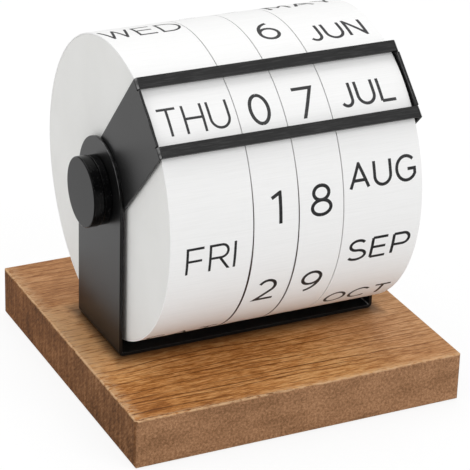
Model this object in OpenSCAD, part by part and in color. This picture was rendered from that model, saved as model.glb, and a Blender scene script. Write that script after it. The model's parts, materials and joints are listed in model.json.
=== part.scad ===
// Perpetual desk calendar. Four printed drums turn on one axle: weekday, tens,
// units and month. A folded steel stand carries the axle over a wooden board,
// and a folded window frame on the same axle shows one row of the drums.
//
// X runs along the axle, -Y is the front and +Z is up. The origin is on the
// table, under the middle of the board. Lengths are in millimetres.

/* [Board] */
// Width of the board, along the axle
board_w = 120; // [110:1:180]
// Depth of the board, front to back
board_d = 120; // [90:1:180]
// Thickness of the board
board_t = 17.5; // [14:0.5:30]
// Rounding of the upright corners
board_corner_r = 1.4; // [0.9:0.1:6]
// Rounding of the top and bottom edges
board_edge_r = 0.8; // [0.3:0.1:1.3]

/* [Felt pads] */
// Diameter of a pad
pad_d = 12; // [8:1:20]
// Thickness of a pad
pad_t = 1.5; // [1.2:0.1:3]
// Depth of the pocket that a pad is stuck into
pad_pocket = 1; // [0.4:0.1:1.1]
// Distance from the board's edges to the middle of a pad
pad_inset = 14; // [12:1:25]

/* [Drums] */
// Diameter of a drum over its printed wrap
drum_d = 103.4; // [80:0.1:106]
// Width of the weekday drum
weekday_w = 28.8; // [20:0.1:30]
// Width of each of the two digit drums
digit_w = 15.8; // [10:0.1:17]
// Width of the month drum
month_w = 28.8; // [20:0.1:30]
// Gap between neighbouring drums
drum_gap = 0.4; // [0.35:0.05:1]
// Gap between an end drum and the window frame's ear
side_gap = 0.6; // [0.5:0.05:2]
// Gap between the drums and the stand's foot plate
drum_lift = 1.2; // [1:0.1:10]
// Thickness of the printed wrap
wrap_t = 0.4; // [0.2:0.05:1]
// Width of the butt joint in a wrap, at the back
wrap_seam = 0.25; // [0.1:0.05:1]
// Rounding of the rims of a drum's core
core_rim_r = 0.3; // [0.1:0.05:1]

/* [Stand] */
// Thickness of the stand's sheet steel
stand_t = 1.2; // [1.1:0.1:2.5]
// Width of the arms and the foot plate
arm_w = 36; // [28:1:50]
// Inside radius of the stand's two folds
stand_bend_r = 0.6; // [0.3:0.1:2]

/* [Board screws] */
// Diameter of a screw's shank
screw_d = 3.5; // [2.5:0.1:4.5]
// Diameter of a screw's countersunk head
screw_head_d = 6.4; // [5.6:0.1:8]
// Length of a screw
screw_l = 13; // [8:1:13]
// Distance between the two screws
screw_spacing = 60; // [30:1:74]

/* [Window frame] */
// Thickness of the window frame's sheet steel
frame_t = 1; // [0.6:0.1:1.5]
// Height of the window's middle above the horizontal, seen from the axle
window_angle = 47.5; // [20:0.5:65]
// Height of the frame across its two bars
frame_h = 28.4; // [24:0.1:36]
// Width of each bar
bar_w = 4; // [2.5:0.1:6]
// Gap between the drums and the bars' plane
window_gap = 0.5; // [0.5:0.1:4]
// Inside radius of the four folds
frame_bend_r = 0.2; // [0.2:0.1:1.2]
// Width of the relief slits at the folds
relief_w = 0.3; // [0.15:0.05:0.8]
// How far the ears' cut front edges lie behind the face of the bars
ear_setback = 0.3; // [0.1:0.05:0.5]
// Diameter of the ears' rounded ends, round the axle
ear_end_d = 26; // [18:1:30]

/* [Axle] */
// Diameter of the axle under the drums
axle_d = 10; // [8:0.5:12]
// Diameter of the axle's threaded ends
stud_d = 6; // [4:0.5:7]
// Radial clearance of a drum's bush on the axle
running_gap = 0.05; // [0.02:0.01:0.1]
// Radial clearance of the threaded ends in the sheets and collars
stud_gap = 0.1; // [0.05:0.05:0.4]
// Bevel at the ends of the axle
axle_bevel = 0.5; // [0.2:0.1:0.9]
// Outside diameter of a drum's bush
bush_d = 14; // [13:0.5:20]

/* [Washers] */
// Outside diameter of the washers on the axle
washer_d = 20; // [15:1:30]
// Thickness of a spacer washer, between two drums
spacer_t = 0.3; // [0.2:0.05:0.3]
// Thickness of an end washer, beside an ear
end_washer_t = 0.4; // [0.2:0.05:0.4]
// Radial clearance of a washer on the axle
washer_gap = 0.03; // [0.02:0.01:0.1]

/* [Knobs] */
// Diameter of a knob
knob_d = 24; // [16:0.5:30]
// Thickness of a knob
knob_t = 3.8; // [3.6:0.1:10]
// Diameter of the collar behind a knob
collar_d = 23.6; // [16:0.1:30]
// Thickness of a collar
collar_t = 2.8; // [1:0.1:6]
// Rounding of the knobs' and collars' rims
knob_rim_r = 0.4; // [0.1:0.05:0.45]
// Depth of the threaded hole in a knob
knob_hole = 3; // [2:0.1:3]

/* [Hidden] */
$fn = 96;
cut = 1; // how far a cutting solid runs past what it cuts

// Heights
board_z = pad_t - pad_pocket;
board_top = board_z + board_t;
axle_z = board_top + stand_t + drum_lift + drum_d / 2;

// Drums from left to right: width of each, and the X of its left face
drum_widths = [weekday_w, digit_w, digit_w, month_w];
stack_w = weekday_w + 2 * digit_w + month_w + 3 * drum_gap;
function widths_before(i) = i == 0 ? 0 : widths_before(i - 1) + drum_widths[i - 1] + drum_gap;
function drum_x(i) = -stack_w / 2 + widths_before(i);
core_d = drum_d - 2 * wrap_t;

// Sheets outside the drums, as distances from the middle
ear_in = stack_w / 2 + side_gap;
ear_out = ear_in + frame_t;
arm_out = ear_out + stand_t;

// Window frame, in the plane across the axle
window_r = drum_d / 2 + window_gap + frame_t;
ear_end_r = ear_end_d / 2;
frame_bend_out = frame_bend_r + frame_t;

// Axle ends
stud_hole_d = stud_d + 2 * stud_gap;
stud_l = frame_t + stand_t + collar_t + knob_hole;

wood = "#9a6a41";
black = "#2b2b2d";
paper = "#f2f2f0";
board_fibre = "#d9d8d3";
steel = "#b9bcc0";
nylon = "#e6e2d6";
felt = "#4a3f36";

// ---- Shapes shared by several pieces ----

// A rectangle about the origin with round corners
module rounded_rect(w, h, r) {
    square([w - 2 * r, h], center = true);
    square([w, h - 2 * r], center = true);
    for (x = [-1, 1], y = [-1, 1])
        translate([x * (w / 2 - r), y * (h / 2 - r)]) circle(r);
}

// A solid disc on the XY plane with round rims
module rounded_disc(d, t, r) {
    rotate_extrude() intersection() {
        translate([0, t / 2]) rounded_rect(d, t, r);
        square([d, t]);
    }
}

// Turns what stands on the XY plane to lie along +X, from the plane at x
module along_x(x) {
    translate([x, 0, axle_z]) rotate([0, 90, 0]) children();
}

// A ring along the axle, from x to x + w
module ring(x, w, outer_d, inner_d) {
    along_x(x) difference() {
        cylinder(d = outer_d, h = w);
        translate([0, 0, -cut]) cylinder(d = inner_d, h = w + 2 * cut);
    }
}

// Section of a sheet folded up on both sides: web at the bottom, from y = 0
module channel_section(half_w, depth, t, bend_r) {
    difference() {
        folded_outline(half_w, depth, bend_r + t);
        translate([0, t]) folded_outline(half_w - t, depth, bend_r);
    }
}

module folded_outline(half_w, depth, r) {
    translate([-half_w, r]) square([2 * half_w, depth - r]);
    translate([-half_w + r, 0]) square([2 * (half_w - r), depth]);
    for (side = [-1, 1]) translate([side * (half_w - r), r]) circle(r);
}

// ---- Board, pads and screws ----

module base_board() {
    color(wood) difference() {
        translate([0, 0, board_z]) intersection() {
            linear_extrude(board_t) rounded_rect(board_w, board_d, board_corner_r);
            rotate([90, 0, 0]) linear_extrude(board_d + 2 * cut, center = true)
                translate([0, board_t / 2]) rounded_rect(board_w, board_t, board_edge_r);
            rotate([90, 0, 90]) linear_extrude(board_w + 2 * cut, center = true)
                translate([0, board_t / 2]) rounded_rect(board_d, board_t, board_edge_r);
        }
        at_pads() translate([0, 0, -cut]) cylinder(d = pad_d, h = pad_t + cut);
        at_screws() screw_form(stud_gap);
    }
}

module at_pads() {
    for (x = [-1, 1], y = [-1, 1])
        translate([x * (board_w / 2 - pad_inset), y * (board_d / 2 - pad_inset), 0]) children();
}

module foot_pads() {
    color(felt) at_pads() cylinder(d = pad_d, h = pad_t);
}

// The screws' heads lie flush with the top of the foot plate
module at_screws() {
    for (side = [-1, 1])
        translate([side * screw_spacing / 2, 0, board_top + stand_t]) children();
}

// A countersunk screw hanging down from the origin, or the hole for one
module screw_form(gap) {
    r = screw_d / 2 + gap;
    head_r = screw_head_d / 2 + gap;
    head_h = head_r - r;
    tip_h = screw_d / 2;
    translate([0, 0, -head_h]) cylinder(r1 = r, r2 = head_r, h = head_h);
    translate([0, 0, -screw_l + tip_h]) cylinder(r = r, h = screw_l - tip_h);
    translate([0, 0, -screw_l - gap]) cylinder(r1 = gap + screw_d / 10, r2 = r, h = tip_h + gap);
}

module board_screws() {
    color(steel) at_screws() screw_form(0);
}

// ---- Stand: one sheet, folded up into two arms with round tops ----

module stand_bracket() {
    color(black) difference() {
        intersection() {
            translate([0, 0, board_top]) rotate([90, 0, 0])
                linear_extrude(arm_w + 2 * cut, center = true)
                    channel_section(arm_out, axle_z + arm_w, stand_t, stand_bend_r);
            rotate([90, 0, 90]) linear_extrude(2 * arm_out + 2 * cut, center = true)
                arm_outline();
        }
        along_x(-arm_out - cut) cylinder(d = stud_hole_d, h = 2 * (arm_out + cut));
        at_screws() {
            screw_form(stud_gap);
            cylinder(d = screw_head_d + 2 * stud_gap, h = cut);
        }
    }
}

// An arm seen along the axle: straight sides, and a round top about the axle
module arm_outline() {
    translate([-arm_w / 2, board_top]) square([arm_w, axle_z - board_top]);
    translate([0, axle_z]) circle(d = arm_w);
}

// ---- Window frame: one sheet, folded back into two ears ----

// Where the line from a corner of the window touches the ear's round end
corner_r = sqrt(pow(window_r, 2) + pow(frame_h / 2, 2));
touch_angle = atan2(frame_h / 2, window_r) + acos(ear_end_r / corner_r);

// An ear seen along the axle, with the window to the left
module ear_outline() {
    circle(r = ear_end_r);
    polygon([
        [-window_r, -frame_h / 2],
        [-ear_end_r * cos(touch_angle), -ear_end_r * sin(touch_angle)],
        [-ear_end_r * cos(touch_angle), ear_end_r * sin(touch_angle)],
        [-window_r, frame_h / 2]
    ]);
}

// The frame with its window upright and square to the front
module upright_frame() {
    opening_h = frame_h - 2 * bar_w;
    intersection() {
        union() {
            difference() {
                linear_extrude(frame_h, center = true) translate([0, -window_r])
                    channel_section(ear_out, window_r + ear_end_r, frame_t, frame_bend_r);
                // the window itself, as deep as the folds
                translate([0, -window_r, 0])
                    cube([2 * (ear_out + cut), 2 * frame_bend_out, opening_h], center = true);
            }
            // between the bars the ears run flat to their cut front edge
            for (side = [-1, 1])
                translate([side * (ear_in + ear_out) / 2, (ear_setback - window_r) / 2, 0])
                    cube([frame_t, window_r - ear_setback, opening_h], center = true);
        }
        rotate([90, 0, 90]) linear_extrude(2 * ear_out + 2 * cut, center = true) ear_outline();
    }
}

// Slits that let the bars fold away from the ears
module relief_slits() {
    slit_x = ear_out - frame_bend_out;
    slit_z = frame_h / 2 - bar_w - relief_w;
    for (side = [0, 1], level = [0, 1])
        mirror([side, 0, 0]) mirror([0, 0, level])
            translate([slit_x, -window_r - cut, slit_z])
                cube([frame_bend_out + cut, frame_bend_out + relief_w + cut, relief_w]);
}

module window_frame() {
    color(black) translate([0, 0, axle_z]) rotate([-window_angle, 0, 0]) difference() {
        upright_frame();
        relief_slits();
        translate([-ear_out - cut, 0, 0]) rotate([0, 90, 0])
            cylinder(d = stud_hole_d, h = 2 * (ear_out + cut));
    }
}

// ---- Axle, washers, collars and knobs ----

// The thick middle stops at the ears, and the threaded ends run into the knobs
module axle() {
    end_x = ear_in + stud_l;
    color(steel) along_x(0) rotate_extrude() polygon([
        [0, -end_x],
        [stud_d / 2 - axle_bevel, -end_x],
        [stud_d / 2, -end_x + axle_bevel],
        [stud_d / 2, -ear_in],
        [axle_d / 2, -ear_in],
        [axle_d / 2, ear_in],
        [stud_d / 2, ear_in],
        [stud_d / 2, end_x - axle_bevel],
        [stud_d / 2 - axle_bevel, end_x],
        [0, end_x]
    ]);
}

module washer(x, t) {
    color(nylon) ring(x, t, washer_d, axle_d + 2 * washer_gap);
}

module spacer_washers() {
    for (i = [1 : 3]) washer(drum_x(i) - (drum_gap + spacer_t) / 2, spacer_t);
}

module collar() {
    color(black) difference() {
        along_x(arm_out) rounded_disc(collar_d, collar_t, knob_rim_r);
        along_x(arm_out - cut) cylinder(d = stud_hole_d, h = collar_t + 2 * cut);
    }
}

module knob() {
    color(black) difference() {
        along_x(arm_out + collar_t) rounded_disc(knob_d, knob_t, knob_rim_r);
        along_x(arm_out + collar_t - cut) cylinder(d = stud_d, h = knob_hole + cut);
    }
}

// ---- Drums: core, printed wrap and bush, by their place in drum_widths ----

module drum_core(i) {
    w = drum_widths[i];
    color(board_fibre) difference() {
        along_x(drum_x(i)) rounded_disc(core_d, w, core_rim_r);
        along_x(drum_x(i) - cut) cylinder(d = bush_d, h = w + 2 * cut);
    }
}

module drum_wrap(i) {
    w = drum_widths[i];
    color(paper) difference() {
        ring(drum_x(i), w, drum_d, core_d);
        translate([drum_x(i) - cut, core_d / 2 - cut, axle_z - wrap_seam / 2])
            cube([w + 2 * cut, wrap_t + 2 * cut, wrap_seam]);
    }
}

module drum_bush(i) {
    color(nylon) ring(drum_x(i), drum_widths[i], bush_d, axle_d + 2 * running_gap);
}

base_board();
foot_pads();
stand_bracket();
board_screws();
window_frame();
axle();
washer(-ear_in, end_washer_t);  // left_end_washer
washer(ear_in - end_washer_t, end_washer_t);  // right_end_washer
spacer_washers();
mirror([1, 0, 0]) collar();  // left_collar
collar();  // right_collar
mirror([1, 0, 0]) knob();  // left_knob
knob();  // right_knob
drum_core(0);  // weekday_core
drum_wrap(0);  // weekday_wrap
drum_bush(0);  // weekday_bush
drum_core(1);  // tens_core
drum_wrap(1);  // tens_wrap
drum_bush(1);  // tens_bush
drum_core(2);  // units_core
drum_wrap(2);  // units_wrap
drum_bush(2);  // units_bush
drum_core(3);  // month_core
drum_wrap(3);  // month_wrap
drum_bush(3);  // month_bush
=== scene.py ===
"""Looks of a perpetual desk calendar: four printed drums on one axle, in a folded
steel stand with a window frame, on an oiled wooden board.

X runs along the axle, -Y is the front and +Z is up. Blender lengths are in metres,
and the sizes that are written here in millimetres are turned into metres by MM.
"""

import json
import math
from collections import namedtuple

import bmesh
import bpy
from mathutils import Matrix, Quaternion, Vector
from mathutils.geometry import delaunay_2d_cdt


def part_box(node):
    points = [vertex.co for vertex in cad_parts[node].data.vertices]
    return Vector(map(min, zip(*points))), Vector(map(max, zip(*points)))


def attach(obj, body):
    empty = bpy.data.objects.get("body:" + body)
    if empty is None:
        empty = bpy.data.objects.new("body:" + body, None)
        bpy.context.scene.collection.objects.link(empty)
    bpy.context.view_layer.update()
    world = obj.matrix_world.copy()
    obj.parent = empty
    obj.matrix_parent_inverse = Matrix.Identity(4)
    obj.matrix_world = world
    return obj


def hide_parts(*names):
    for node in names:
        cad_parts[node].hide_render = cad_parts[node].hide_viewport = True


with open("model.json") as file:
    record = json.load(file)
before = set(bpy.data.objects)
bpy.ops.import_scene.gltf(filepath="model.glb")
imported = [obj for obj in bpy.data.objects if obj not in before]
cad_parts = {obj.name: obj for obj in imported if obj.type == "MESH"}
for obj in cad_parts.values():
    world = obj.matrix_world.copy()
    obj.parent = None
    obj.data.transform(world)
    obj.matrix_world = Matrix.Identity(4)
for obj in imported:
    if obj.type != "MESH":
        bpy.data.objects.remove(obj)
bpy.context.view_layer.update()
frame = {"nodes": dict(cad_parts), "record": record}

MM = 0.001
nodes = frame["nodes"]

# Places taken from the frame
_, board_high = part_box("base_board")
_, foot_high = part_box("stand_bracket")
wrap_low, wrap_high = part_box("weekday_wrap")
tens_low, tens_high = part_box("tens_wrap")
units_low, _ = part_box("units_wrap")
DRUM_R = (wrap_high.z - wrap_low.z) / 2
AXLE_Z = (wrap_high.z + wrap_low.z) / 2

# In millimetres, for the finishes: ends along X and sides along Y, both from the middle
BOARD_END = board_high.x / MM
BOARD_SIDE = board_high.y / MM
FOOT_END = foot_high.x / MM
FOOT_SIDE = foot_high.y / MM
DRUMS_END = -wrap_low.x / MM
AXLE_HEIGHT = AXLE_Z / MM
TENS_MIDDLE = (tens_low.x + tens_high.x) / 2 / MM
TENS_SEAM = (tens_high.x + units_low.x) / 2 / MM - TENS_MIDDLE  # from it to each seam


# ---- Shader maths ----


class Signal:
    """A value in a node tree. Python's operators on it add Math nodes."""

    def __init__(self, shop, socket):
        self.shop = shop
        self.socket = socket

    def math(self, operation, other=0.0, swapped=False):
        """A Math node on this value and another, or on the other and this one."""
        values = {0: other, 1: self} if swapped else {0: self, 1: other}
        return self.shop.signal("Math", 0, {"operation": operation}, values)

    def __add__(self, other):
        return self.math("ADD", other)

    __radd__ = __add__

    def __sub__(self, other):
        return self.math("SUBTRACT", other)

    def __rsub__(self, other):
        return self.math("SUBTRACT", other, swapped=True)

    def __mul__(self, other):
        return self.math("MULTIPLY", other)

    __rmul__ = __mul__

    def __truediv__(self, other):
        return self.math("DIVIDE", other)

    def __pow__(self, other):
        return self.math("POWER", other)

    def __abs__(self):
        return self.math("ABSOLUTE")

    def fade(self, low, high):
        """0 below low, 1 above high, and smooth between them."""
        values = {"Value": self, "From Min": low, "From Max": high}
        return self.shop.signal("MapRange", 0, {"interpolation_type": "SMOOTHSTEP"}, values)

    def ramp(self, *stops):
        """A colour for each value: stops are (place, colour)."""
        return self.shop.signal("ValToRGB", 0, {"stops": stops}, {0: self})


class Workshop:
    """The node tree of a material or of the world."""

    def __init__(self, owner):
        owner.use_nodes = True
        self.tree = owner.node_tree
        self.tree.nodes.clear()

    def add(self, kind, settings=None, sockets=None):
        """Adds a node: its type, its settings, and the values or links of its sockets."""
        node = self.tree.nodes.new("ShaderNode" + kind)
        for name, value in (settings or {}).items():
            if name == "stops":
                set_stops(node.color_ramp, value)
            else:
                setattr(node, name, value)
        for name, value in (sockets or {}).items():
            if isinstance(value, Signal):
                self.tree.links.new(value.socket, node.inputs[name])
            else:
                node.inputs[name].default_value = value
        return node

    def signal(self, kind, output, settings=None, sockets=None):
        return Signal(self, self.add(kind, settings, sockets).outputs[output])

    def vector(self, x, y, z):
        return self.signal("CombineXYZ", 0, None, {0: x, 1: y, 2: z})

    def axes(self, output):
        """X, Y and Z of one output of the Texture Coordinate node."""
        vector = self.signal("TexCoord", output)
        split = self.add("SeparateXYZ", None, {0: vector})
        return [Signal(self, split.outputs[i]) for i in range(3)]

    def place(self):
        """X, Y and Z on the object, in millimetres."""
        return [value / MM for value in self.axes("Object")]

    def noise(self, x, y, z, detail=2.0, rough=0.5):
        """Noise from 0 to 1. Its cells are 1 wide, so 0.5 of a place in millimetres
        gives cells of 2 mm, and a small factor draws them out along that axis."""
        values = {"Vector": self.vector(x, y, z), "Scale": 1.0, "Detail": detail, "Roughness": rough}
        return self.signal("TexNoise", "Fac", {"normalize": True}, values)

    def mix(self, factor, a, b, blend="MIX"):
        """The colour a where factor is 0, and b where it is 1."""
        settings = {"data_type": "RGBA", "blend_type": blend}
        return self.signal("Mix", 2, settings, {0: factor, 6: a, 7: b})

    def bump(self, height, depth):
        """A normal from a height of 0 to 1, which stands for depth millimetres."""
        values = {"Height": height, "Distance": depth * MM, "Strength": 1.0}
        return self.signal("Bump", 0, None, values)

    def surface(self, **sockets):
        """The surface shader, with each socket named by its own words, joined by _."""
        values = {name.replace("_", " "): value for name, value in sockets.items()}
        shader = self.add("BsdfPrincipled", None, values)
        output = self.add("OutputMaterial")
        self.tree.links.new(shader.outputs[0], output.inputs[0])


def set_stops(color_ramp, stops):
    while len(color_ramp.elements) < len(stops):
        color_ramp.elements.new(1.0)
    for element, (place, color) in zip(color_ramp.elements, stops):
        element.position = place
        element.color = color


def rgb(red, green, blue):
    return (red, green, blue, 1.0)


def finish(name, make):
    """A material of that name, whose nodes are added by make."""
    material = bpy.data.materials.new(name)
    make(Workshop(material))
    return material


# ---- Finishes ----

GROWTH_LINE = rgb(0.105, 0.036, 0.010)
PALE_WOOD = rgb(0.650, 0.375, 0.175)
WORN_AND_HIGHLIT_WOOD = rgb(0.62, 0.39, 0.21)
REDDER_END = rgb(0.90, 0.81, 0.68)  # multiplies the sawn wood's colour
# the colour of the painted shade on the board's top along the foot plate
BOARD_SHADE = rgb(0.022, 0.009, 0.003)


def oiled_wood(shop):
    """Oiled brown hardwood with the grain along X: growth rings and pores on the top,
    speckled sides, darker ends, paler wood at chips and along the arrises, where it is
    partly a painted highlight, and painted shade along the foot plate."""
    x, y, z = shop.place()
    nx, ny, nz = [abs(value) for value in shop.axes("Normal")]
    end = nx.fade(0.6, 0.9)
    top = nz.fade(0.5, 0.9)

    # Growth rings, cut flat: a slow change of tone that ends in a thin dark line
    bend = shop.noise(x * 0.016, y * 0.04, z * 0.04, 1.0) * 8.0
    waver = shop.noise(x * 0.09, y * 0.15, 5.0, 1.0) * 1.4
    across = y + (bend + waver)
    rings = across * 0.32 + shop.noise(across * 0.15, 2.0, z * 0.05, 1.0) * 2.4
    ring = rings.math("FRACT")
    age = rings.math("FLOOR")
    late = ring.fade(0.25, 0.90) * (1 - ring.fade(0.92, 1.0))
    line = ring.fade(0.74, 0.90) * (1 - ring.fade(0.94, 1.0))
    firm = shop.noise(x * 0.012, age * 3.7, 1.0, 2.0).fade(0.34, 0.52)

    cloud = shop.noise(x * 0.03, y * 0.06, z * 0.05, 3.0, 0.6)
    fleck = shop.noise(x * 0.13, y * 0.95, z * 0.95, 3.0, 0.65)
    fibre = shop.noise(x * 0.28, y * 2.2, z * 2.2, 4.0, 0.7)
    pores = shop.noise(x * 0.25, y * 2.6, z * 2.6, 1.0).fade(0.62, 0.72)
    specks = shop.noise(x * 1.1, y * 1.2, z * 1.1, 4.0, 0.75)
    grit = shop.noise(x * 3.2, y * 3.2, z * 3.2, 2.0, 0.7)

    # The heartwood's gold runs along the front and dies out to the right and the back, where the
    # greyer ruddy tone is partly a painted sheen
    in_front = 1 - (y + cloud * 30.0).fade(20.0, 50.0)
    on_left = 1 - (x + cloud * 24.0 + y * 0.3).fade(12.0, 50.0)
    heart = in_front * on_left
    figure = cloud * 0.38 + fleck * 0.50 + fibre * 0.78 - late * firm * 0.06 - 0.82
    tone = 0.523 + figure * (0.74 + heart * 0.26) + x * 0.0006
    golden = tone.ramp(
        (0.36, rgb(0.235, 0.076, 0.012)),
        (0.45, rgb(0.390, 0.150, 0.034)),
        (0.54, rgb(0.530, 0.232, 0.066)),
        (0.64, rgb(0.690, 0.370, 0.140)),
    )
    ruddy = tone.ramp(
        (0.36, rgb(0.240, 0.088, 0.024)),
        (0.45, rgb(0.390, 0.172, 0.060)),
        (0.54, rgb(0.500, 0.245, 0.098)),
        (0.64, rgb(0.640, 0.350, 0.165)),
    )
    # A paler band along the grain, which only shows near the left end
    from_left = x + BOARD_END
    band = across.fade(-30.0, -8.0) * (1 - across.fade(27.0, 31.0))
    pale = 0.66 * band * (1 - from_left.fade(6.0, 25.0)) * fleck.fade(0.31, 0.48)
    plain = shop.mix(pale, shop.mix(heart, ruddy, golden), PALE_WOOD)
    lines = line * firm * (0.34 + heart * 0.62) * (1 - pale)
    marks = (lines + pores * 0.40).math("MINIMUM", 1.0)
    face = shop.mix(marks, plain, GROWTH_LINE)

    # The speckled front and back, and the sawn ends, which turn redder towards the back
    blotch = shop.noise(x * 0.06, y * 0.1, z * 0.16, 2.0)
    sides = (specks * 0.62 + grit * 0.16 + blotch * 0.22 + x * 0.0002).ramp(
        (0.41, rgb(0.198, 0.094, 0.040)),
        (0.50, rgb(0.314, 0.157, 0.073)),
        (0.59, rgb(0.452, 0.240, 0.122)),
    )
    strokes = shop.noise((y + z) * 0.9, (y - z) * 0.22, x * 0.05, 3.0, 0.65)
    stripes = shop.noise(y * 0.55, z * 0.05, x * 0.05, 3.0, 0.65)
    sawn = (strokes * 0.42 + stripes * 0.30 + specks * 0.26 + cloud * 0.36 - 0.17).ramp(
        (0.38, rgb(0.095, 0.039, 0.014)),
        (0.50, rgb(0.188, 0.081, 0.030)),
        (0.63, rgb(0.320, 0.157, 0.070)),
    )
    ends = shop.mix(y.fade(-55.0, 55.0), sawn, REDDER_END, "MULTIPLY")
    body = shop.mix(top, shop.mix(end, sides, ends), face)

    # Paler wood on the arrises, partly a painted highlight, and chips along the front and left edges
    # of the top
    arris = (nx * nz + ny * nz + nx * ny * 0.4).fade(0.20, 0.46)
    rubbed_and_highlit = arris * shop.noise(x * 0.30, y * 0.30, z * 0.6, 3.0, 0.65).fade(0.38, 0.58)
    chips = shop.noise(x * 0.40, y * 1.2, 9.0, 3.0, 0.7)
    inwards = (from_left * 0.5).math("MINIMUM", y + BOARD_SIDE)
    chipped = top * (1 - inwards.fade(0.5, 2.7)) * chips.fade(0.42, 0.56)
    wear_and_highlight = (rubbed_and_highlit * 0.60 + chipped * 0.65).math("MINIMUM", 1.0)
    worn_and_highlit = shop.mix(wear_and_highlight, body, WORN_AND_HIGHLIT_WOOD)

    # Painted shade on the top along the foot plate, fading out a few millimetres from its edges
    off_plate = ((abs(x) - FOOT_END) * 2.0).math("MAXIMUM", abs(y) - FOOT_SIDE)
    painted_shade = 0.76 * top * (1 - off_plate.fade(-1.0, 7.0 + cloud * 3.0))

    height = fibre * 0.35 + specks * 0.25 + grit * 0.2 - marks * 0.5
    shop.surface(
        Base_Color=shop.mix(painted_shade, worn_and_highlit, BOARD_SHADE),
        Roughness=0.42 + end * 0.35 + specks * 0.14 + marks * 0.2,
        IOR=1.30,
        Normal=shop.bump(height, 0.07),
    )


EDGE_WEAR_AND_HIGHLIGHT = rgb(0.22, 0.22, 0.22)
SCUFF_AND_SHEEN_GREY = rgb(0.026, 0.026, 0.026)


def powder_coat(shop):
    """Satin black powder coat on sheet steel, with a faint orange peel, fine scuff marks
    along the axle on its sloping faces, which also stand in for a painted sheen there,
    and upper edges and folds painted pale, partly as thin coat and mostly as a painted highlight."""
    x, y, z = shop.place()
    peel = shop.noise(x * 1.7, y * 1.7, z * 1.7, 2.0)
    cloud = shop.noise(x * 0.06, y * 0.06, z * 0.06, 2.0)
    nx, _, nz = shop.axes("Normal")
    sloping = nz.fade(0.3, 0.6) - nz.fade(0.85, 0.95)
    # Upper edges and folds painted pale: partly thin coat, mostly a painted highlight
    edge = (nx ** 2.0 * (1 - nx ** 2.0)).fade(0.09, 0.21) * nz.fade(0.05, 0.35)
    rubbed_and_highlit = edge * shop.noise(x * 0.5, y * 0.35, z * 0.35, 2.0).fade(0.25, 0.60)
    # Fine scuff marks, lighter on the sloping faces only, where they also paint sheen
    scuffs_and_sheen = sloping * shop.noise(x * 0.14, y * 2.2, z * 2.2, 3.0, 0.7).fade(0.46, 0.66)
    coat = shop.mix(cloud.fade(0.3, 0.7), rgb(0.0046, 0.0046, 0.0048), rgb(0.0070, 0.0070, 0.0072))
    scuffed_and_sheened = shop.mix(scuffs_and_sheen * 0.8, coat, SCUFF_AND_SHEEN_GREY)
    shop.surface(
        Base_Color=shop.mix(rubbed_and_highlit, scuffed_and_sheened, EDGE_WEAR_AND_HIGHLIGHT),
        Roughness=0.27 + cloud * 0.07 + peel * 0.04 + scuffs_and_sheen * 0.10,
        IOR=1.38,
        Normal=shop.bump(peel, 0.010),
    )


PALE_SPECK = rgb(0.060, 0.060, 0.060)


def knob_lacquer(shop):
    """Satin black lacquer over fine turning marks round the axle, with pale specks on
    the knob's side."""
    x, y, z = shop.place()
    radius = (y ** 2.0 + (z - AXLE_HEIGHT) ** 2.0) ** 0.5
    rings = shop.noise(radius * 5.0, x * 6.0, 0.0, 2.0)
    cloud = shop.noise(x * 0.2, y * 0.2, z * 0.2, 2.0)
    side = 1 - abs(shop.axes("Normal")[0]).fade(0.5, 0.9)
    pale_specks = side * shop.noise(x * 2.2, y * 1.6, z * 1.6, 3.0, 0.75).fade(0.60, 0.72)
    lacquer = shop.mix(cloud, rgb(0.0020, 0.0020, 0.0022), rgb(0.0038, 0.0038, 0.0040))
    shop.surface(
        Base_Color=shop.mix(pale_specks * 0.8, lacquer, PALE_SPECK),
        Roughness=0.16 + rings * 0.06 + cloud * 0.04,
        IOR=1.225,
        Normal=shop.bump(rings, 0.004),
    )


def zinc_plate(shop):
    """Bright zinc on turned steel, drawn along the axle."""
    x, y, z = shop.place()
    drawn = shop.noise(x * 0.4, y * 9.0, z * 9.0, 2.0)
    spangle = shop.noise(x * 0.9, y * 0.9, z * 0.9, 2.0)
    color = shop.mix(spangle, rgb(0.50, 0.51, 0.53), rgb(0.66, 0.67, 0.68))
    shop.surface(
        Base_Color=color,
        Metallic=1.0,
        Roughness=0.26 + drawn * 0.18,
        Normal=shop.bump(drawn, 0.01),
    )


def moulded_nylon(shop):
    """Natural nylon, slightly cloudy."""
    x, y, z = shop.place()
    cloud = shop.noise(x * 0.5, y * 0.5, z * 0.5, 2.0)
    grain = shop.noise(x * 6.0, y * 6.0, z * 6.0, 2.0)
    color = shop.mix(cloud, rgb(0.70, 0.67, 0.58), rgb(0.80, 0.78, 0.70))
    shop.surface(Base_Color=color, Roughness=0.38 + grain * 0.12, Normal=shop.bump(grain, 0.01))


def pressed_felt(shop):
    """Dark brown felt: matted fibres with paler specks."""
    x, y, z = shop.place()
    mat = shop.noise(x * 1.6, y * 1.6, z * 1.6, 4.0, 0.7)
    fuzz = shop.noise(x * 7.0, y * 7.0, z * 7.0, 3.0, 0.7)
    pile = mat * 0.5 + fuzz * 0.5
    color = pile.ramp(
        (0.35, rgb(0.030, 0.021, 0.015)),
        (0.55, rgb(0.075, 0.055, 0.040)),
        (0.70, rgb(0.150, 0.118, 0.090)),
    )
    shop.surface(Base_Color=color, Roughness=0.95, Normal=shop.bump(pile, 0.2))


SEAM_PAINTED_LIGHT = rgb(0.95, 0.95, 0.945)
SEAM_SHADE = rgb(0.060, 0.026, 0.011)


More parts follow.
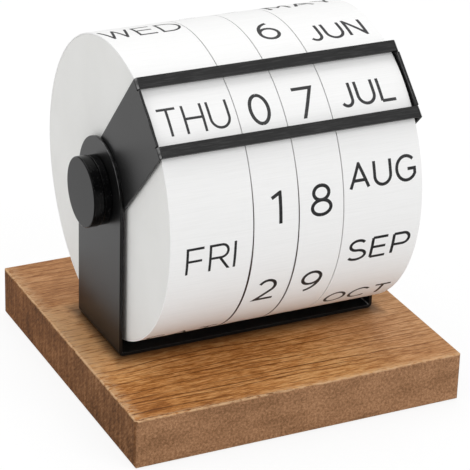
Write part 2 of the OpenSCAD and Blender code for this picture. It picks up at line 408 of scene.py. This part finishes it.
def with_seams(shop, clean):
    """A drum's clean colour, with painted light and shade in its seams: a whiter white painted
    on the walls between the drums as light in the narrow gaps, and a brown painted shade in the
    two seams beside the tens drum. The shade lies on the walls of the drums' lower half, and spreads
    a little onto their rims below."""
    x, _, z = shop.place()
    height = z - AXLE_HEIGHT
    off_middle = x - TENS_MIDDLE
    off_seam = abs(abs(off_middle) - TENS_SEAM)
    wall = abs(shop.axes("Normal")[0]).fade(0.90, 0.96)
    between = wall * (1 - (abs(x) - DRUMS_END).fade(-1.0, -0.5))
    # the walls between the drums painted whiter, as light in the narrow gaps
    lit_walls = shop.mix(between, clean, SEAM_PAINTED_LIGHT)
    # painted shade in the seams beside the tens drum, on the lower walls and the rims below
    on_walls = wall * (1 - off_seam.fade(0.25, 0.35)) * (1 - height.fade(3.0, 22.0))
    rim = (1 - off_seam.fade(0.22, 0.50)) * (0.75 - off_middle * 0.03)
    on_rims = rim * (1 - height.fade(-16.0, 2.0))
    painted_shade = on_walls.math("MAXIMUM", on_rims)
    return shop.mix(painted_shade, lit_walls, SEAM_SHADE)


def fibreboard(shop):
    """Pale painted fibreboard: a slightly grey white, with a soft mottle."""
    x, y, z = shop.place()
    mottle = shop.noise(x * 0.08, y * 0.08, z * 0.08, 3.0)
    nap = shop.noise(x * 4.0, y * 4.0, z * 4.0, 3.0, 0.7)
    paint = shop.mix(mottle, rgb(0.74, 0.74, 0.72), rgb(0.80, 0.80, 0.785))
    shop.surface(
        Base_Color=with_seams(shop, paint),
        Roughness=0.62 + nap * 0.12,
        Normal=shop.bump(nap, 0.012),
    )


def wrap_ribs(shop):
    """The fine ribs of the wrap's surface, which run along the axle, from 0 to 1."""
    x, y, z = shop.place()
    height = z - AXLE_HEIGHT
    around = height.math("ARCTAN2", y) * (DRUM_R / MM)
    ribs = shop.noise(x * 0.07, around * 3.2, 0.0, 2.0, 0.6)
    slubs = shop.noise(x * 0.03, around * 0.8, 7.0, 2.0)
    return ribs * 0.75 + slubs * 0.25


def printed_wrap(shop):
    """Matt white wrap, ribbed along the axle."""
    ribs = wrap_ribs(shop)
    white = ribs.ramp(
        (0.34, rgb(0.835, 0.835, 0.830)),
        (0.52, rgb(0.862, 0.862, 0.858)),
        (0.68, rgb(0.880, 0.880, 0.877)),
    )
    color = with_seams(shop, white)
    shop.surface(Base_Color=color, Roughness=0.56 + ribs * 0.12, Normal=shop.bump(ribs, 0.008))


def printing_ink(shop):
    """Black printing ink, thinner on the tops of the wrap's ribs."""
    ribs = wrap_ribs(shop)
    color = ribs.ramp(
        (0.38, rgb(0.014, 0.014, 0.015)),
        (0.56, rgb(0.024, 0.024, 0.026)),
        (0.70, rgb(0.060, 0.060, 0.062)),
    )
    shop.surface(Base_Color=color, Roughness=0.58, Normal=shop.bump(ribs, 0.012))


FINISHES = {
    "board_wood": oiled_wood,
    "black_steel": powder_coat,
    "black_knob": knob_lacquer,
    "zinc_steel": zinc_plate,
    "nylon": moulded_nylon,
    "felt": pressed_felt,
    "drum_core": fibreboard,
    "printed_wrap": printed_wrap,
}


def dress_cad_nodes():
    """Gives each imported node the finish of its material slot."""
    made = {slot: finish(slot, make) for slot, make in FINISHES.items()}
    for part in frame["record"]["subparts"]:
        nodes[part["node"]].material_slots[0].material = made[part["material_slot"]]
    return made


# ---- Meshes ----


def object_from(bm, name, material):
    mesh = bpy.data.meshes.new(name)
    bm.to_mesh(mesh)
    bm.free()
    piece = bpy.data.objects.new(name, mesh)
    bpy.context.scene.collection.objects.link(piece)
    mesh.materials.append(material)
    return piece


# ---- Lettering ----

ARC_STEP = 12  # most degrees between two points of an arc


def arc(centre_x, centre_y, radius_x, radius_y, start, end):
    """Points of an arc from one angle to another, in degrees from +X towards +Y."""
    steps = math.ceil(abs(end - start) / ARC_STEP)
    angles = [math.radians(start + (end - start) * i / steps) for i in range(steps + 1)]
    return [(centre_x + radius_x * math.cos(a), centre_y + radius_y * math.sin(a)) for a in angles]


def bar(y, start, end):
    return [(start, y), (end, y)]


def stem(x):
    return [(x, 0), (x, 1)]


def bowl(start, centre_y, radius_x, radius_y):
    """A bow on the right of a stem, from its top to its foot."""
    straight = start - radius_x
    bow = arc(straight, centre_y, radius_x, radius_y, 90, -90)
    return [(0, centre_y + radius_y)] + bow + [(0, centre_y - radius_y)]


def round_ring(centre_x, centre_y, radius_x, radius_y):
    """A closed ring, as two strokes that meet."""
    shape = (centre_x, centre_y, radius_x, radius_y)
    return [arc(*shape, 90, 270), arc(*shape, -90, 90)]


def half_turn(width, strokes):
    return [[(width - x, 1 - y) for x, y in stroke] for stroke in strokes]


# A letter is its width and its pen strokes, in which Y runs from 0 at the letter's foot
# to 1 at its top.
SIX = round_ring(0.32, 0.31, 0.32, 0.31) + [arc(0.56, 0.31, 0.56, 0.69, 180, 100)]

LETTERS = {
    "A": (0.82, [[(0, 0), (0.41, 1), (0.82, 0)], bar(0.32, 0.13, 0.69)]),
    "B": (0.70, [stem(0), bowl(0.64, 0.76, 0.24, 0.24), bowl(0.70, 0.26, 0.26, 0.26)]),
    "C": (0.77, [arc(0.44, 0.5, 0.44, 0.5, 42, 318)]),
    "D": (0.78, [stem(0), bowl(0.78, 0.5, 0.46, 0.5)]),
    "E": (0.68, [stem(0), bar(1, 0, 0.68), bar(0.52, 0, 0.62), bar(0, 0, 0.68)]),
    "F": (0.65, [stem(0), bar(1, 0, 0.65), bar(0.50, 0, 0.58)]),
    "G": (0.84, [arc(0.44, 0.5, 0.44, 0.5, 44, 330) + [(0.821, 0.46), (0.50, 0.46)]]),
    "H": (0.71, [stem(0), stem(0.71), bar(0.52, 0, 0.71)]),
    "I": (0.00, [stem(0)]),
    "J": (0.48, [[(0.48, 1)] + arc(0.24, 0.26, 0.24, 0.26, 0, -150)]),
    "L": (0.62, [stem(0), bar(0, 0, 0.62)]),
    "M": (0.86, [[(0, 0), (0, 1), (0.43, 0.34), (0.86, 1), (0.86, 0)]]),
    "N": (0.70, [[(0, 0), (0, 1), (0.70, 0), (0.70, 1)]]),
    "O": (0.84, round_ring(0.42, 0.5, 0.42, 0.5)),
    "P": (0.72, [stem(0), bowl(0.72, 0.73, 0.27, 0.27)]),
    "R": (0.72, [stem(0), bowl(0.70, 0.74, 0.26, 0.26), [(0.38, 0.48), (0.72, 0)]]),
    "S": (0.78, [arc(0.39, 0.75, 0.34, 0.25, 32, 270) + arc(0.39, 0.25, 0.39, 0.25, 90, -148)[1:]]),
    "T": (0.72, [bar(1, 0, 0.72), stem(0.36)]),
    "U": (0.73, [[(0, 1)] + arc(0.365, 0.38, 0.365, 0.38, 180, 360) + [(0.73, 1)]]),
    "V": (0.78, [[(0, 1), (0.39, 0), (0.78, 1)]]),
    "W": (1.04, [[(0, 1), (0.26, 0), (0.52, 1), (0.78, 0), (1.04, 1)]]),
    "Y": (0.76, [[(0, 1), (0.38, 0.44), (0.76, 1)], [(0.38, 0.44), (0.38, 0)]]),
    "0": (0.62, round_ring(0.31, 0.5, 0.31, 0.5)),
    "1": (0.30, [[(0, 0.84), (0.30, 1), (0.30, 0)]]),
    "2": (0.66, [arc(0.31, 0.70, 0.29, 0.30, 155, -42) + [(0.02, 0), (0.66, 0)]]),
    "3": (0.62, [
        arc(0.30, 0.755, 0.26, 0.245, 148, -90) + [(0.16, 0.51)],
        [(0.16, 0.51)] + arc(0.31, 0.255, 0.31, 0.255, 90, -148),
    ]),
    "4": (0.72, [stem(0.54), [(0.54, 1), (0, 0.27), (0.72, 0.27)]]),
    "5": (0.62, [
        [(0.54, 1), (0.12, 1), (0.07, 0.49)],
        [(0.06, 0.535)] + arc(0.30, 0.31, 0.31, 0.31, 126, -145),
    ]),
    "6": (0.64, SIX),
    "7": (0.66, [[(0, 1), (0.66, 1), (0.22, 0)]]),
    "8": (0.66, round_ring(0.33, 0.755, 0.27, 0.245) + round_ring(0.33, 0.255, 0.33, 0.255)),
    "9": (0.64, half_turn(0.64, SIX)),
}

INK_PROUD = 0.015 * MM  # how far the ink stands above the wrap
INK_SUNK = 0.03 * MM  # how far it has soaked in
WRAP_STEP = 1.0 * MM  # greatest height of the strips that bend the ink round the drum
SHARPEST = 0.22  # least cosine of half a stroke's bend, which limits its mitre
STEEP = 0.5  # rise per unit of length, above which a stroke's end is lengthened
ONE_POINT = 1e-7  # points nearer than this are joined, in metres
ALL_TRIANGLES = 0  # delaunay_2d_cdt's choice of what it gives back


def pen_outline(line, half):
    """The outline of a pen stroke along a line, half its width to each side."""
    steps = [(b - a).normalized() for a, b in zip(line, line[1:])]
    right, left = [], []
    for i, point in enumerate(line):
        before = steps[max(i - 1, 0)].orthogonal()
        after = steps[min(i, len(steps) - 1)].orthogonal()
        normal = (before + after).normalized()
        reach = normal * half / max(normal.dot(after), SHARPEST)
        right.append(point - reach)
        left.append(point + reach)
    return right + left[::-1]


def run_past_ends(line, height, reach):
    """Lengthens a stroke that ends at the foot or the top, for a level cut there."""
    longer = list(line)
    for end, inner in ((0, 1), (-1, -2)):
        direction = (line[end] - line[inner]).normalized()
        at_limit = min(line[end].y, height - line[end].y) <= reach
        if at_limit and abs(direction.y) > STEEP:
            longer[end] = line[end] + direction * 2 * reach
    return longer


def letter_triangles(strokes, height, half):
    """The letter's flat triangles: the union of its strokes, cut level at the foot and
    the top, and cut into low strips that can bend round a drum."""
    points, edges, faces = [], [], []
    for stroke in strokes:
        outline = pen_outline(run_past_ends(stroke, height, half), half)
        faces.append(list(range(len(points), len(points) + len(outline))))
        points += outline
    low = min(p.x for p in points) - half
    high = max(p.x for p in points) + half
    strips = math.ceil(height / WRAP_STEP)
    for i in range(strips + 1):
        level = height * i / strips
        edges.append((len(points), len(points) + 1))
        points += [Vector((low, level)), Vector((high, level))]
    union = delaunay_2d_cdt(points, edges, faces, ALL_TRIANGLES, ONE_POINT)
    corners, _, triangles, _, _, owners = union
    kept = []
    for triangle, owner in zip(triangles, owners):
        middle = sum(corners[i].y for i in triangle) / 3
        if owner and 0 < middle < height:
            kept.append(triangle)
    return corners, kept


def add_letter(bm, corners, triangles, place):
    """Adds the letter as a thin solid. place puts a flat point at a depth on the drum."""
    layers = []
    for depth in (INK_PROUD, -INK_SUNK):
        used = sorted({i for triangle in triangles for i in triangle})
        layers.append({i: bm.verts.new(place(corners[i], depth)) for i in used})
    outer, inner = layers
    open_edges = {}
    for triangle in triangles:
        bm.faces.new([outer[i] for i in triangle])
        bm.faces.new([inner[i] for i in reversed(triangle)])
        for a, b in zip(triangle, triangle[1:] + triangle[:1]):
            if (b, a) in open_edges:
                del open_edges[(b, a)]
            else:
                open_edges[(a, b)] = True
    for a, b in open_edges:
        bm.faces.new([outer[b], outer[a], inner[a], inner[b]])


def print_word(bm, word, centre_x, angle, style):
    """Prints a word round the drum, with its middle at an angle above the front."""
    height = style.height
    half = style.pen / 2
    inner = height - style.pen
    stretch = inner * style.widen
    widths = [LETTERS[letter][0] for letter in word]
    start = centre_x - (sum(widths) + style.gap * (len(word) - 1)) * stretch / 2

    def place(point, depth):
        radius = DRUM_R + depth
        bearing = angle + (point.y - height / 2) / DRUM_R
        return (point.x, -radius * math.cos(bearing), AXLE_Z + radius * math.sin(bearing))

    for letter, width in zip(word, widths):
        strokes = [
            [Vector((start + x * stretch, half + y * inner)) for x, y in stroke]
            for stroke in LETTERS[letter][1]
        ]
        add_letter(bm, *letter_triangles(strokes, height, half), place)
        start += (width + style.gap) * stretch


# A kind of lettering: the letters' height, the pen's width, the gap between letters in
# the units of LETTERS, how much wider than in LETTERS all is drawn, and the angle above
# the front of the row that the window shows
Style = namedtuple("Style", "height pen gap widen shown")
FIGURES = Style(11.0 * MM, 1.16 * MM, 0.27, 1.03, math.radians(45.0))
WEEKDAYS = Style(9.7 * MM, 0.86 * MM, 0.26, 1.0, math.radians(45.4))
MONTHS = Style(9.1 * MM, 1.06 * MM, 0.29, 1.0, math.radians(45.4))

# What follows downwards on each drum, from the row in the window. A space is a bare row.
PRINTS = {
    "weekday": (WEEKDAYS, "THU FRI SAT SUN MON TUE WED".split()),
    "tens": (FIGURES, list("0123 0123 ")),
    "units": (FIGURES, list("7890123456")),
    "month": (MONTHS, "JUL AUG SEP OCT NOV DEC JAN FEB MAR APR MAY JUN".split()),
}


def print_drums():
    ink = finish("printing_ink", printing_ink)
    for drum, (style, words) in PRINTS.items():
        low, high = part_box(f"{drum}_wrap")
        bm = bmesh.new()
        for row, word in enumerate(words):
            angle = style.shown - row * math.tau / len(words)
            print_word(bm, word.strip(), (low.x + high.x) / 2, angle, style)
        lettering = object_from(bm, f"{drum}_lettering", ink)
        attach(lettering, f"{drum}_drum")


# ---- Felt pads ----

PAD_R = 6.0 * MM
PAD_CORNERS = 60  # of the polygon that stands for a pad's round

# A pad's rim from the sole upwards, in millimetres: (inwards, above the sole)
PAD_RIM = [(0.50, 0.0), (0.16, 0.10), (0.03, 0.35), (0.0, 0.7)]

# The rim's unevenness: how many waves go round, and their depth in millimetres
LONG_WAVES = 5
LONG_DEPTH = 0.03
SHORT_WAVES = 13
SHORT_DEPTH = 0.02


def make_felt_pads(felt):
    """Four discs punched out of felt, each with a soft and slightly uneven rim."""
    low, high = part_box("foot_pads")
    bm = bmesh.new()
    for side_x in (-1, 1):
        for side_y in (-1, 1):
            centre = Vector((side_x * (high.x - PAD_R), side_y * (high.y - PAD_R), low.z))
            add_felt_disc(bm, centre, high.z - low.z, side_x + 2 * side_y)
    pads = object_from(bm, "felt_pads", felt)
    for face in pads.data.polygons:
        face.use_smooth = True
    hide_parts("foot_pads")
    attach(pads, "stand")


def add_felt_disc(bm, centre, thickness, phase):
    """A felt disc standing on its sole. phase turns the long waves of its rim."""
    rings = []
    for inwards, up in PAD_RIM + [(0.0, thickness / MM)]:
        ring = []
        for i in range(PAD_CORNERS):
            turn = i * math.tau / PAD_CORNERS
            long_wave = LONG_DEPTH * (1 + math.sin(LONG_WAVES * turn + phase))
            short_wave = SHORT_DEPTH * (1 + math.sin(SHORT_WAVES * turn))
            radius = PAD_R - (inwards + (long_wave + short_wave)) * MM
            place = Vector((radius * math.cos(turn), radius * math.sin(turn), up * MM))
            ring.append(bm.verts.new(centre + place))
        rings.append(ring)
    for lower, upper in zip(rings, rings[1:]):
        for i in range(PAD_CORNERS):
            j = (i + 1) % PAD_CORNERS
            bm.faces.new((lower[i], lower[j], upper[j], upper[i]))
    bm.faces.new(rings[0][::-1])
    bm.faces.new(rings[-1])


# ---- Edges of the sheet steel ----

EDGE_WIDTH = 0.12 * MM
WELD_WITHIN = 0.001 * MM
LEAST_BEND = math.radians(35)  # of an edge that is rounded


def soften_edges(name):
    """Rounds a sheet's sharp edges with modifiers, for the light to catch."""
    node = nodes[name]
    weld = node.modifiers.new("joined_faces", "WELD")
    weld.merge_threshold = WELD_WITHIN
    bevel = node.modifiers.new("soft_edges", "BEVEL")
    bevel.width = EDGE_WIDTH
    bevel.segments = 2
    bevel.limit_method = "ANGLE"
    bevel.angle_limit = LEAST_BEND
    bevel.harden_normals = True


# ---- Studio ----

FLOOR_REACH = 3.0


def make_floor():
    bm = bmesh.new()
    corners = [(-1, -1), (1, -1), (1, 1), (-1, 1)]
    bm.faces.new([bm.verts.new((x * FLOOR_REACH, y * FLOOR_REACH, 0.0)) for x, y in corners])
    paint = finish("studio_floor", floor_paint)
    paint.cycles.emission_sampling = "NONE"
    floor = object_from(bm, "studio_floor", paint)


def floor_paint(shop):
    """A pale matt floor. It shows white and keeps some of the object's shadow, and in
    reflections it is dark in front and bright behind."""
    path = shop.add("LightPath")
    seen = Signal(shop, path.outputs["Is Camera Ray"])
    mirrored = Signal(shop, path.outputs["Is Glossy Ray"])
    through = Signal(shop, path.outputs["Is Transmission Ray"])
    _, y, _ = shop.place()
    lit_part = 0.05 + 0.87 * y.fade(-60.0, 90.0)
    matt = shop.mix(seen, rgb(0.86, 0.86, 0.86), rgb(1, 1, 1))
    paint = shop.signal("BsdfDiffuse", 0, None, {"Color": matt})
    glow = shop.signal("Emission", 0, None, {"Color": rgb(1, 1, 1), "Strength": 1.0})
    dark = shop.signal("Emission", 0, None, {"Color": rgb(0, 0, 0), "Strength": 1.0})
    mirror_image = shop.signal("MixShader", 0, None, {0: lit_part, 1: dark, 2: glow})
    direct = shop.signal("MixShader", 0, None, {0: seen * 0.86 + through, 1: paint, 2: glow})
    mixed = shop.signal("MixShader", 0, None, {0: mirrored, 1: direct, 2: mirror_image})
    shop.add("OutputMaterial", None, {0: mixed})


WORLD_LEVEL = 0.60  # of its light on the object, where 1 is a white background


def make_world():
    """White to the camera, even light on the object, and in reflections a bright
    overhead box and back, with the front and the left dark."""
    world = bpy.data.worlds.new("studio")
    world.cycles.sampling_method = "NONE"
    bpy.context.scene.world = world
    shop = Workshop(world)
    path = shop.add("LightPath")
    direct = Signal(shop, path.outputs["Is Camera Ray"])
    mirrored = Signal(shop, path.outputs["Is Glossy Ray"])
    through = Signal(shop, path.outputs["Is Transmission Ray"])
    x, y, z = shop.axes("Generated")
    overhead = z.fade(0.60, 0.85) * x.fade(-0.70, -0.20)
    behind = y.fade(0.25, 0.75) * 0.40
    mirror_image = (0.04 + overhead + behind).math("MINIMUM", 1.0)
    plain = (direct + through).math("MINIMUM", 1.0)
    strength = plain + (1 - plain) * (mirrored * mirror_image + (1 - mirrored) * WORLD_LEVEL)
    light = shop.signal("Background", 0, None, {"Color": rgb(1, 1, 1), "Strength": strength})
    shop.add("OutputWorld", None, {0: light})


LAMP_TARGET = (0.0, 0.0, 0.06)

# Square lamps: name, place, width and watts
LAMPS = [
    ("overhead_softbox", (0.0, 0.40, 1.10), 0.9, 4.8),
    ("left_softbox", (-1.05, -0.20, 0.50), 0.9, 2.6),
    ("front_softbox", (0.52, -1.02, 0.88), 0.75, 6.1),
]


def add_lamps():
    for lamp in LAMPS:
        add_lamp(*lamp)


def add_lamp(name, place, width, watts):
    data = bpy.data.lights.new(name, "AREA")
    data.shape = "SQUARE"
    data.size = width
    data.energy = watts
    lamp = bpy.data.objects.new(name, data)
    lamp.location = place
    lamp.rotation_mode = "QUATERNION"
    aim = Vector(LAMP_TARGET) - Vector(place)
    lamp.rotation_quaternion = aim.to_track_quat("-Z", "Y")
    bpy.context.scene.collection.objects.link(lamp)


def add_camera():
    """A camera to the front and left, looking down at the drums, and rolled a little."""
    azimuth = math.radians(-26.250)
    elevation = math.radians(25.407)
    roll = math.radians(1.768)
    distance = 0.80476
    target = Vector((0.19, -5.0, 48.87)) * MM
    level = math.cos(elevation)
    back = Vector((math.sin(azimuth) * level, -math.cos(azimuth) * level, math.sin(elevation)))
    data = bpy.data.cameras.new("camera")
    data.sensor_width = 36.0
    data.lens = 180.51
    camera = bpy.data.objects.new("camera", data)
    camera.location = target + back * distance
    camera.rotation_mode = "QUATERNION"
    camera.rotation_quaternion = (-back).to_track_quat("-Z", "Y") @ Quaternion((0, 0, 1), roll)
    bpy.context.scene.collection.objects.link(camera)
    bpy.context.scene.camera = camera


add_camera()
materials = dress_cad_nodes()
print_drums()
make_felt_pads(materials["felt"])
soften_edges("stand_bracket")
soften_edges("window_frame")
make_floor()
make_world()
add_lamps()

bpy.context.scene.view_settings.view_transform = "Standard"

bpy.context.view_layer.update()
